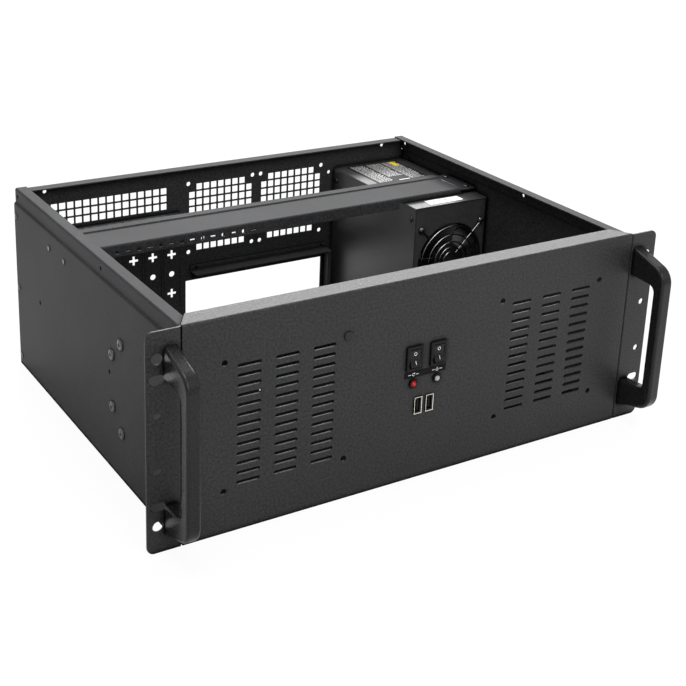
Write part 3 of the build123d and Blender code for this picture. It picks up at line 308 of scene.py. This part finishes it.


# PANEL and CASE are one black coat; CASE is set lighter as painted light for the shaded inside of the case, PANEL
# darker as painted shade on the front face
PANEL = (0.0135, 0.0137, 0.0145)
CASE = (0.032, 0.0325, 0.034)
BLACK = (0.010, 0.010, 0.0105)
ROCKER_BLACK = (0.006, 0.006, 0.0065)
TRAY_FLOOR = 2 * MM
SHELL_MOUTH = 1 * MM  # how far the socket shells stand out from the panel
finishes = {
    "case_paint": powder("case_paint", CASE, 0.5, 0.03, contrast=0.45, floor=TRAY_FLOOR),
    "panel_paint": powder("panel_paint", PANEL, 0.52, 0.25, 520.0, 0.2 * MM, 0.95),
    "handle_paint": powder("handle_paint", (0.008, 0.008, 0.0085), 0.3, 0.18, 1300.0, 0.03 * MM),
    "psu_paint": powder("psu_paint", (0.034, 0.034, 0.0355), 0.42, 0.35, 900.0, 0.06 * MM, 0.4),
    "zinc": metal("zinc", (0.5, 0.5, 0.51), 0.32),
    "black_screw": metal("black_screw", (0.075, 0.075, 0.08), 0.4),
    "plug_plastic": plastic("plug_plastic", PANEL, 0.55, 0.2),
    "brass_post": metal("brass_post", (0.36, 0.28, 0.15), 0.34),
    "fan_plastic": plastic("fan_plastic", BLACK, 0.42, 0.3),
    "guard_wire": metal("guard_wire", (0.22, 0.22, 0.23), 0.17),
    "switch_plastic": plastic("switch_plastic", (0.004, 0.004, 0.0045), 0.3, 0.12),
    "rocker_plastic": plastic("rocker_plastic", ROCKER_BLACK, 0.26, 0.15),
    "grey_label": plastic("grey_label", (0.012, 0.012, 0.0125), 0.6, 0.1),
    "white_label": plastic("white_label", (0.8, 0.8, 0.78), 0.45, 0.3),
    "tinned_brass": metal("tinned_brass", (0.66, 0.6, 0.42), 0.28),
    "black_label": plastic("black_label", (0.003, 0.003, 0.0035), 0.5, 0.08),
    "red_lens": lens_material("red_lens", (0.5, 0.001, 0.001), 1.5),
    "clear_lens": lens_material("clear_lens", (0.45, 0.46, 0.46), 1.1),
    "usb_steel": shell_metal("usb_steel", (0.78, 0.74, 0.66), SHELL_MOUTH),
    "socket_plastic": plastic("socket_plastic", ROCKER_BLACK, 0.45, 0.2),
    "board_green": board_material("board_green"),
}
pale_ink = plastic("pale_ink", (0.62, 0.62, 0.61), 0.5, 0.2)
grey_ink = plastic("grey_ink", (0.05, 0.05, 0.05), 0.5, 0.2)
yellow_ink = plastic("yellow_ink", (0.75, 0.55, 0.02), 0.5, 0.2)
# bright metal for the painted highlights on the bar and the supply's cover
painted_highlight_strip = metal("painted_highlight_strip", (0.7, 0.7, 0.71), 0.38)


def dress_nodes():
    """Gives each CAD node the finish of its slot."""
    for part in frame["record"]["subparts"]:
        node = nodes[part["node"]]
        finish = finishes[part["material_slot"]]
        if not node.material_slots:
            node.data.materials.append(finish)
        for place in node.material_slots:
            place.link = "OBJECT"
            place.material = finish


# New pieces
FLAT_ANGLE = math.radians(38)  # edges sharper than this keep their crease
INK = 0.04 * MM


def new_piece(name, bm, finish, body):
    """Turns a bmesh into a shaded piece that moves with a body."""
    mesh = bpy.data.meshes.new(name)
    bmesh.ops.recalc_face_normals(bm, faces=bm.faces)
    bm.to_mesh(mesh)
    bm.free()
    mesh.materials.append(finish)
    piece = bpy.data.objects.new(name, mesh)
    scene.collection.objects.link(piece)
    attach(piece, body)
    return piece


def smooth(mesh):
    """Smooth shading with creases kept."""
    for face in mesh.polygons:
        face.use_smooth = True
    mesh.set_sharp_from_angle(angle=FLAT_ANGLE)


def rectangle(u, v, width, height, rows=1):
    """A rectangle about (u, v), cut into rows so that it can follow a curve."""
    left, right = u - width / 2, u + width / 2
    shapes = []
    for i in range(rows):
        low = v - height / 2 + height * i / rows
        high = low + height / rows
        shapes.append([(left, low), (right, low), (right, high), (left, high)])
    return shapes


def ring(u, v, outer, inner, start=0.0, end=2 * math.pi, count=24):
    """An open or closed ring of short pieces."""
    shapes = []
    for i in range(count):
        a = start + (end - start) * i / count
        b = start + (end - start) * (i + 1) / count
        corners = [(inner, a), (outer, a), (outer, b), (inner, b)]
        shapes.append([(u + r * math.cos(t), v + r * math.sin(t)) for r, t in corners])
    return shapes


def stamp(bm, shapes, place, thick):
    """Adds each flat shape as a thin plate; place turns (u, v, height) into a point in space."""
    for shape in shapes:
        low = [bm.verts.new(place(u, v, 0)) for u, v in shape]
        high = [bm.verts.new(place(u, v, thick)) for u, v in shape]
        bm.faces.new(low[::-1])
        bm.faces.new(high)
        count = len(shape)
        for i in range(count):
            j = (i + 1) % count
            bm.faces.new((low[i], low[j], high[j], high[i]))


def stamped_piece(name, shapes, place, thick, finish, body="case"):
    """A piece made of flat shapes on one face."""
    bm = bmesh.new()
    stamp(bm, shapes, place, thick)
    new_piece(name, bm, finish, body)


def flat_place(origin, right, up, out):
    """Turns (u, v, height) on a flat face into a point in space."""
    origin, right, up, out = Vector(origin), Vector(right), Vector(up), Vector(out)
    return lambda u, v, height: origin + right * u + up * v + out * height


def front_place(x, y, z):
    """A flat face that looks forward."""
    return flat_place((x, y, z), (1, 0, 0), (0, 0, 1), (0, -1, 0))


def top_place(x, y, z):
    """A flat face that looks up."""
    return flat_place((x, y, z), (1, 0, 0), (0, 1, 0), (0, 0, 1))


# Screws: plain heads are replaced by heads with a cross recess
WELD = 0.001 * MM  # vertices nearer than this are one
TURN_SEGMENTS = 36
HEAD_PROFILE = (  # shares of a head's radius and height, from its top to its underside
    (0, 1),
    (0.4, 0.995),
    (0.68, 0.9118),
    (0.86, 0.776),
    (0.96, 0.5626),
    (1, 0.34),
    (1, 0),
)
RECESS_REACH = 0.52  # shares of the head's radius
RECESS_HALF_WIDTH = 0.15
RECESS_DEPTH = 0.45
RECESS_DEEPEST = 0.75  # shares of the head's height
RECESS_TOP = 1.2
RECESS_FLOOR_REACH = 0.35  # shares of the recess's reach and width left at its bottom
RECESS_FLOOR_WIDTH = 0.7
SCREWS = (  # node, where its heads look, height of a head, shank's share of the head's radius, finish
    ("side_screws", "sides", 1.8 * MM, 0.45, "black_screw"),
    ("rear_screws", "sides", 0.9 * MM, 0.58, "black_screw"),
    ("bar_screws", (0, 0, 1), 1.9 * MM, 0.53, "black_screw"),
    ("fan_screws", (0, -1, 0), 1.6 * MM, 0.55, "black_screw"),
    ("psu_cover_screws", (-1, 0, 0), 1.2 * MM, 0.55, "black_screw"),
    ("psu_mount_screws", (0, 1, 0), 1.8 * MM, 0.54, "black_screw"),
    ("handle_screws", (0, 1, 0), 2.4 * MM, 0.54, "zinc"),
)


def islands(name):
    """The box of each separate solid of a CAD node."""
    bm = bmesh.new()
    bm.from_mesh(nodes[name].data)
    bmesh.ops.remove_doubles(bm, verts=bm.verts, dist=WELD)
    seen = set()
    boxes = []
    for start in bm.verts:
        if start in seen:
            continue
        seen.add(start)
        stack = [start]
        low, high = start.co.copy(), start.co.copy()
        while stack:
            vert = stack.pop()
            for i in range(3):
                low[i] = min(low[i], vert.co[i])
                high[i] = max(high[i], vert.co[i])
            for edge in vert.link_edges:
                other = edge.other_vert(vert)
                if other not in seen:
                    seen.add(other)
                    stack.append(other)
        boxes.append((low, high))
    bm.free()
    return boxes


def turned(profile):
    """A closed solid turned about Z from radii and heights that start and end on the axis."""
    bm = bmesh.new()
    angles = [2 * math.pi * i / TURN_SEGMENTS for i in range(TURN_SEGMENTS)]
    rows = []
    for radius, height in profile:
        if radius == 0:
            rows.append([bm.verts.new((0, 0, height))])
        else:
            points = [(radius * math.cos(t), radius * math.sin(t), height) for t in angles]
            rows.append([bm.verts.new(point) for point in points])
    for upper, lower in zip(rows, rows[1:]):
        for i in range(TURN_SEGMENTS):
            j = (i + 1) % TURN_SEGMENTS
            around = ((upper, i), (upper, j), (lower, j), (lower, i))
            corners = [row[k % len(row)] for row, k in around]
            bm.faces.new(list(dict.fromkeys(corners)))
    bmesh.ops.recalc_face_normals(bm, faces=bm.faces)
    return bm


def recess_cutter(radius, head):
    """Two crossed blocks that taper downwards, for the recess of a head."""
    cutter = bmesh.new()
    reach, half = radius * RECESS_REACH, radius * RECESS_HALF_WIDTH
    depth = min(head * RECESS_DEEPEST, radius * RECESS_DEPTH)
    levels = (
        (reach * RECESS_FLOOR_REACH, half * RECESS_FLOOR_WIDTH, head - depth),
        (reach, half, head * RECESS_TOP),
    )
    for turn in (0, math.pi / 2):
        spin = Matrix.Rotation(turn, 3, "Z")
        rows = []
        for x, y, z in levels:
            corners = ((-x, -y, z), (x, -y, z), (x, y, z), (-x, y, z))
            rows.append([cutter.verts.new(spin @ Vector(corner)) for corner in corners])
        low, high = rows
        cutter.faces.new(low[::-1])
        cutter.faces.new(high)
        for i in range(4):
            j = (i + 1) % 4
            cutter.faces.new((low[i], low[j], high[j], high[i]))
    return cutter


def object_of(name, bm):
    """Turns a bmesh into an object in the scene."""
    mesh = bpy.data.meshes.new(name)
    bm.to_mesh(mesh)
    bm.free()
    thing = bpy.data.objects.new(name, mesh)
    scene.collection.objects.link(thing)
    return thing


def cross_screw(radius, head, shank_radius, shank):
    """A pan head with a cross recess: its underside at the origin, its top along +Z."""
    profile = [(radius * r, head * h) for r, h in HEAD_PROFILE]
    profile += [(shank_radius, 0), (shank_radius, -shank), (0, -shank)]
    body = object_of("screw", turned(profile))
    tool = object_of("cutter", recess_cutter(radius, head))
    cut = body.modifiers.new("cut", "BOOLEAN")
    cut.operation = "DIFFERENCE"
    cut.solver = "EXACT"
    cut.use_self = True
    cut.object = tool
    cut_body = body.evaluated_get(bpy.context.evaluated_depsgraph_get())
    result = bpy.data.meshes.new_from_object(cut_body)
    bpy.data.objects.remove(body)
    bpy.data.objects.remove(tool)
    return result


def outward_of(low, high, way):
    """The direction in which a screw's head looks: a fixed one, or away from the middle of the case."""
    if way == "sides":
        return Vector((math.copysign(1, low.x + high.x), 0, 0))
    return Vector(way)


def dress_screws():
    """Puts a head with a cross recess in place of each plain screw."""
    for name, way, head, share, finish in SCREWS:
        bm = bmesh.new()
        draw = random.Random(name)
        template = None
        for low, high in islands(name):
            outward = outward_of(low, high, way)
            size = high - low
            middle = (low + high) / 2
            length = abs(size.dot(outward))
            radius = (sum(size) - length) / 4
            if template is None:
                template = cross_screw(radius, head, radius * share, length - head)
            underside = middle + outward * (length / 2 - head)
            aim = outward.to_track_quat("Z", "Y").to_matrix().to_4x4()
            spin = Matrix.Rotation(draw.uniform(0, math.pi / 2), 4, "Z")
            one = template.copy()
            one.transform(Matrix.Translation(underside) @ aim @ spin)
            bm.from_mesh(one)
        piece = new_piece(name.replace("screws", "cross_screws"), bm, finishes[finish], "case")
        smooth(piece.data)
        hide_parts(name)


# Rockers: a ring on the upper half and a bar on the lower half
ROCKER_REACH = 7.9 * MM
ROCKER_FACE = 3.8 * MM
ROCKER_DIP = 1.5 * MM
ROCKER_TILT = math.radians(10)
ROCKER_MARK_HEIGHT = 3.7 * MM  # from the rocker's axis to its ring and its bar
ROCKER_RING = (1.45 * MM, 1.0 * MM)
ROCKER_BAR = (0.5 * MM, 2.9 * MM)
ROCKER_BAR_ROWS = 4


def rocker_place(pivot, facing):
    """Turns (u, v, height) on a rocker's hollow face into a point, at rest with its upper end in."""
    tip = math.sqrt(ROCKER_REACH**2 - ROCKER_FACE**2)
    arc = (tip**2 + ROCKER_DIP**2) / (2 * ROCKER_DIP)
    centre = ROCKER_FACE - ROCKER_DIP + arc

    def place(u, v, height):
        out = centre - math.sqrt(arc**2 - v**2) + height
        up = v * math.cos(ROCKER_TILT) + out * math.sin(ROCKER_TILT)
        forward = out * math.cos(ROCKER_TILT) - v * math.sin(ROCKER_TILT)
        return (pivot[0] - facing * u, pivot[1] + facing * forward, pivot[2] + up)

    return place


def mark_rockers():
    """Marks every rocker, with the marks moving with it."""
    for joint in frame["joints"]:
        rocker = joint["child"]
        if "rocker" not in rocker:
            continue
        facing = 1 if rocker == "psu_rocker" else -1
        place = rocker_place(joint["pos_m"], facing)
        shapes = ring(0, ROCKER_MARK_HEIGHT, *ROCKER_RING)
        shapes += rectangle(0, -ROCKER_MARK_HEIGHT, *ROCKER_BAR, ROCKER_BAR_ROWS)
        stamped_piece(rocker + "_marks", shapes, place, INK, pale_ink, rocker)


# Strip below the switches
SYMBOL_RING = (1.3 * MM, 0.95 * MM)
ARROW_ARC = (0.8, 5.6)  # start and end of the turned arrow, in radians
ARROW_RADIUS = 1.1 * MM
ARROW_HEAD = ((-1.0 * MM, 0), (0.5 * MM, -0.6 * MM), (0.3 * MM, 0.9 * MM))  # about the arc's start
RING_GAP = 0.6  # radians that the right ring leaves open on each side of its top
RING_DROP = 0.2 * MM
STROKE = (0.35 * MM, 1.7 * MM)
STROKE_RISE = 0.8 * MM
SIDE_DASH = (2.6 * MM, 0.5 * MM)
SIDE_DASH_OFFSET = 3.6 * MM


def mark_strip():
    """Plain symbols on the strip: a turned arrow on the left, and a ring with a stroke on the right."""
    low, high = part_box("switch_label")
    middle = (low + high) / 2
    place = front_place(middle.x, low.y, middle.z)
    pivots = {joint["child"]: joint["pos_m"] for joint in frame["joints"]}
    left = pivots["reset_rocker"][0]
    right = pivots["power_rocker"][0]
    start, end = ARROW_ARC
    shapes = ring(left, 0, *SYMBOL_RING, start, end)
    tip_u = left + ARROW_RADIUS * math.cos(start)
    tip_v = ARROW_RADIUS * math.sin(start)
    shapes.append([(tip_u + u, tip_v + v) for u, v in ARROW_HEAD])
    shapes += ring(right, -RING_DROP, *SYMBOL_RING, math.pi / 2 + RING_GAP, math.pi * 2.5 - RING_GAP)
    shapes += rectangle(right, STROKE_RISE, *STROKE)
    for x in (left, right):
        for side in (-1, 1):
            shapes += rectangle(x + side * SIDE_DASH_OFFSET, 0, *SIDE_DASH)
    stamped_piece("switch_label_marks", shapes, place, INK, pale_ink)


# Labels of the supply
LABEL_SEED = 7
PRINT_MARGIN = 3 * MM
PRINT_COLUMNS = 3
COLUMN_GAP = 2 * MM
ROW_PITCH = 2.6 * MM
ROW_HEIGHT = 0.9 * MM
DASH_SHORTEST, DASH_LONGEST = 1.0, 5.0  # millimetres
DASH_GAP = 0.8 * MM
ROW_END = 2 * MM  # no dash starts this near to the end of a row
SHORT_COLUMN = 1  # the column that ends above the large white field
SHORT_ROWS = 17
LARGE_FIELD = (2 * MM, 8 * MM, 13 * MM, 7 * MM)  # from the middle, from the front edge, width, depth
SMALL_FIELD = (12 * MM, 3.2 * MM, 12 * MM, 2.2 * MM)  # from the left and front edges, width, depth
YELLOW_PATCH = (9 * MM, 10 * MM, 6 * MM, 14 * MM)  # from the right and rear edges, width, depth
BARS_REACH = 0.36  # half the length of the row of bars, as a share of the label's width
BARS_DEPTH = 0.5
BARS_RISE = 0.4 * MM
BAR_WIDTHS = (0.3, 1.2)  # millimetres
BAR_GAPS = (0.4, 1.4)


def top_of(name):
    """A label's upper face: how to place a shape on it, and its width and depth."""
    low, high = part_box(name)
    middle = (low + high) / 2
    return top_place(middle.x, middle.y, high.z), high.x - low.x, high.y - low.y


def print_rows(draw, width, depth):
    """Columns of rows of dashes of random length."""
    dashes = []
    column_width = (width - 2 * PRINT_MARGIN - (PRINT_COLUMNS - 1) * COLUMN_GAP) / PRINT_COLUMNS
    for column in range(PRINT_COLUMNS):
        left = -width / 2 + PRINT_MARGIN + column * (column_width + COLUMN_GAP)
        rows = int((depth - 2 * PRINT_MARGIN) / ROW_PITCH)
        if column == SHORT_COLUMN:
            rows = min(rows, SHORT_ROWS)
        for row in range(rows):
            v = depth / 2 - PRINT_MARGIN - row * ROW_PITCH
            u = left
            while u < left + column_width - ROW_END:
                dash = min(draw.uniform(DASH_SHORTEST, DASH_LONGEST) * MM, left + column_width - u)
                dashes += rectangle(u + dash / 2, v, dash, ROW_HEIGHT)
                u += dash + DASH_GAP
    return dashes


def print_bars(draw, width, depth):
    """A row of bars of different widths."""
    bars = []
    u = -width * BARS_REACH
    while u < width * BARS_REACH:
        bar = draw.uniform(*BAR_WIDTHS) * MM
        bars += rectangle(u + bar / 2, BARS_RISE, bar, depth * BARS_DEPTH)
        u += bar + draw.uniform(*BAR_GAPS) * MM
    return bars


def print_labels():
    """Dashes, two white fields and a yellow patch on the rear label, and bars on the front one."""
    draw = random.Random(LABEL_SEED)
    place, width, depth = top_of("psu_label_rear")
    dashes = print_rows(draw, width, depth)
    u, v, *size = LARGE_FIELD
    fields = rectangle(u, -depth / 2 + v, *size)
    u, v, *size = SMALL_FIELD
    fields += rectangle(-width / 2 + u, -depth / 2 + v, *size)
    u, v, *size = YELLOW_PATCH
    patch = rectangle(width / 2 - u, depth / 2 - v, *size)
    stamped_piece("psu_label_rows", dashes, place, INK, pale_ink)
    stamped_piece("psu_label_fields", fields, place, 2 * INK, finishes["white_label"])
    stamped_piece("psu_label_band", patch, place, 2 * INK, yellow_ink)
    place, width, depth = top_of("psu_label_front")
    bars = print_bars(draw, width, depth)
    stamped_piece("psu_label_bars", bars, place, INK, grey_ink)


# Painted highlights: bright metal strips on the hold-down bar and along the supply's cover
PUNCH_FIRST = -180.72 * MM
PUNCH_PITCH = 20.32 * MM
PUNCHES = 8
PUNCH_HEIGHT = 150.3 * MM
PUNCH_SIZE = (5.2 * MM, 1.6 * MM)
PUNCH_EDGE = (0.9, 0.7 * MM)  # share of the slot's width, and height
PUNCH_EDGE_RISE = 0.35 * MM  # from the slot's lower side to the middle of its edge
DIMPLE_RADIUS = 1.8 * MM
DIMPLE_EDGE = 0.5 * MM
DIMPLE_ARC = (4.0, 5.4)  # radians
DIMPLE_PIECES = 8
BAR_MAIN = 194.9 * MM  # half the length of the raised part of the bar
BAR_TOP = 157.0 * MM
STEP_EDGE = (0.45 * MM, 26 * MM)
STEP_MIDDLE = 20 * MM  # from the bar's front
COVER_SHEET = 0.8 * MM
COVER_BEND = 1.4 * MM
COVER_EDGE_RISE = 0.1 * MM


def paint_bar_highlights():
    """Painted highlights: bright metal strips in the bar's punched slots, under its dimples and along its step."""
    low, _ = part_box("crossbar")
    width_share, height = PUNCH_EDGE
    shapes = []
    for i in range(PUNCHES):
        u = PUNCH_FIRST + i * PUNCH_PITCH
        v = -PUNCH_SIZE[1] / 2 + PUNCH_EDGE_RISE
        shapes += rectangle(u, v, PUNCH_SIZE[0] * width_share, height)
        outer = DIMPLE_RADIUS + DIMPLE_EDGE
        shapes += ring(u - PUNCH_PITCH / 2, 0, outer, DIMPLE_RADIUS, *DIMPLE_ARC, DIMPLE_PIECES)
    front = front_place(0, low.y, PUNCH_HEIGHT)
    stamped_piece("bar_punch_highlights", shapes, front, INK, painted_highlight_strip)
    top = top_place(0, low.y, BAR_TOP)
    edge = rectangle(BAR_MAIN - STEP_EDGE[0], STEP_MIDDLE, *STEP_EDGE)
    stamped_piece("bar_step_highlight", edge, top, INK, painted_highlight_strip)


def paint_cover_highlight():
    """A painted highlight: a bright metal strip along the front edge of the supply's cover."""
    low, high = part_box("psu_cover")
    place = front_place((low.x + high.x) / 2, low.y, high.z - COVER_SHEET / 2)
    edge = rectangle(0, COVER_EDGE_RISE, high.x - low.x - 2 * COVER_BEND, COVER_SHEET / 2)
    stamped_piece("psu_cover_highlight", edge, place, INK / 2, painted_highlight_strip)


# Contacts on the tongues of the sockets
CONTACTS = 4
CONTACT_PITCH = 0.2  # share of the tongue's height
CONTACT_SIZE = (7 * MM, 1.1 * MM)
CONTACT_THICK = 0.1 * MM
CONTACT_DEPTH = 4.5 * MM  # from the tongue's front to the middle of a contact
CONTACT_FACE = 2.15 * MM  # from the tongue's right side to the face with the contacts


def add_contacts():
    """Pale contacts on the tongue of each socket."""
    bm = bmesh.new()
    for name in ("usb_tongue_left", "usb_tongue_right"):
        low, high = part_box(name)
        height = high.z - low.z
        for i in range(CONTACTS):
            origin = (
                high.x - CONTACT_FACE,
                low.y + CONTACT_DEPTH,
                low.z + height * CONTACT_PITCH * (i + 1),
            )
            place = flat_place(origin, (0, 1, 0), (0, 0, 1), (-1, 0, 0))
            stamp(bm, rectangle(0, 0, *CONTACT_SIZE), place, CONTACT_THICK)
    new_piece("usb_contacts", bm, finishes["tinned_brass"], "case")


# Light and surroundings
WORLD_LIGHT = 0.35
FLOOR_WHITE = 0.93  # share of plain white in the floor as the camera sees it
FLOOR_HALF = 12.0
FLOOR_DROP = 0.3 * MM
MIDDLE = (0, 0.2, 0.1)
LAMPS = (  # name, place, target, size, power
    ("key", (-0.35, -2.2, 2.0), MIDDLE, (1.6, 1.6), 48),
    ("top", (-0.3, 0.1, 2.6), MIDDLE, (1.4, 1.4), 46),
    ("back", (1.3, 2.1, 1.75), (0, 0.1, 0.15), (2.4, 1.1), 130),
    ("fill", (1.6, -1.7, 1.6), MIDDLE, (1.4, 1.4), 5),
)


def make_lamp(name, place, target, size, power):
    """A soft lamp that points at a target."""
    data = bpy.data.lights.new(name, "AREA")
    data.shape = "RECTANGLE"
    data.size, data.size_y = size
    data.energy = power
    lamp = bpy.data.objects.new(name, data)
    aim = (Vector(target) - Vector(place)).to_track_quat("-Z", "Y")
    lamp.matrix_world = Matrix.Translation(Vector(place)) @ aim.to_matrix().to_4x4()
    scene.collection.objects.link(lamp)


def make_world():
    """White where it is seen or mirrored, and a plain level of light elsewhere."""
    world = bpy.data.worlds.new("studio")
    scene.world = world
    world.use_nodes = True
    tree = world.node_tree
    shown = tree.nodes["Background"]
    shown.inputs["Color"].default_value = (1, 1, 1, 1)
    shown.inputs["Strength"].default_value = 1.0
    light = tree.nodes.new("ShaderNodeBackground")
    light.inputs["Color"].default_value = (1, 1, 1, 1)
    light.inputs["Strength"].default_value = WORLD_LIGHT
    paths = tree.nodes.new("ShaderNodeLightPath")
    seen = paths.outputs["Is Camera Ray"]
    for ray in ("Is Glossy Ray", "Is Transmission Ray"):
        either = tree.nodes.new("ShaderNodeMath")
        either.operation = "MAXIMUM"
        tree.links.new(seen, either.inputs[0])
        tree.links.new(paths.outputs[ray], either.inputs[1])
        seen = either.outputs[0]
    mix = tree.nodes.new("ShaderNodeMixShader")
    tree.links.new(seen, mix.inputs[0])
    tree.links.new(light.outputs[0], mix.inputs[1])
    tree.links.new(shown.outputs[0], mix.inputs[2])
    tree.links.new(mix.outputs[0], tree.nodes["World Output"].inputs["Surface"])


def floor_material():
    """Pale and dull, and almost plain white to the camera."""
    material = bpy.data.materials.new("floor")
    material.use_nodes = True
    tree = material.node_tree
    shader = tree.nodes["Principled BSDF"]
    shader.inputs["Base Color"].default_value = (0.86, 0.86, 0.86, 1)
    shader.inputs["Roughness"].default_value = 0.9
    shader.inputs["Specular IOR Level"].default_value = 0.1
    white = tree.nodes.new("ShaderNodeEmission")
    white.inputs["Strength"].default_value = 1.0
    paths = tree.nodes.new("ShaderNodeLightPath")
    share = tree.nodes.new("ShaderNodeMath")
    share.operation = "MULTIPLY"
    share.inputs[1].default_value = FLOOR_WHITE
    mix = tree.nodes.new("ShaderNodeMixShader")
    tree.links.new(paths.outputs["Is Camera Ray"], share.inputs[0])
    tree.links.new(share.outputs[0], mix.inputs[0])
    tree.links.new(shader.outputs[0], mix.inputs[1])
    tree.links.new(white.outputs[0], mix.inputs[2])
    tree.links.new(mix.outputs[0], tree.nodes["Material Output"].inputs["Surface"])
    return material


def make_floor():
    """A floor that shows the object's shadow and otherwise melts into the white background."""
    mesh = bpy.data.meshes.new("floor")
    signs = ((-1, -1), (1, -1), (1, 1), (-1, 1))
    corners = [(x * FLOOR_HALF, y * FLOOR_HALF, 0) for x, y in signs]
    mesh.from_pydata(corners, [], [(0, 1, 2, 3)])
    floor = bpy.data.objects.new("floor", mesh)
    floor.location.z = CAD_BOX[0].z - FLOOR_DROP
    scene.collection.objects.link(floor)
    mesh.materials.append(floor_material())


make_camera()
make_world()
make_floor()
dress_nodes()
dress_screws()
mark_rockers()
mark_strip()
print_labels()
paint_bar_highlights()
paint_cover_highlight()
add_contacts()
for lamp in LAMPS:
    make_lamp(*lamp)
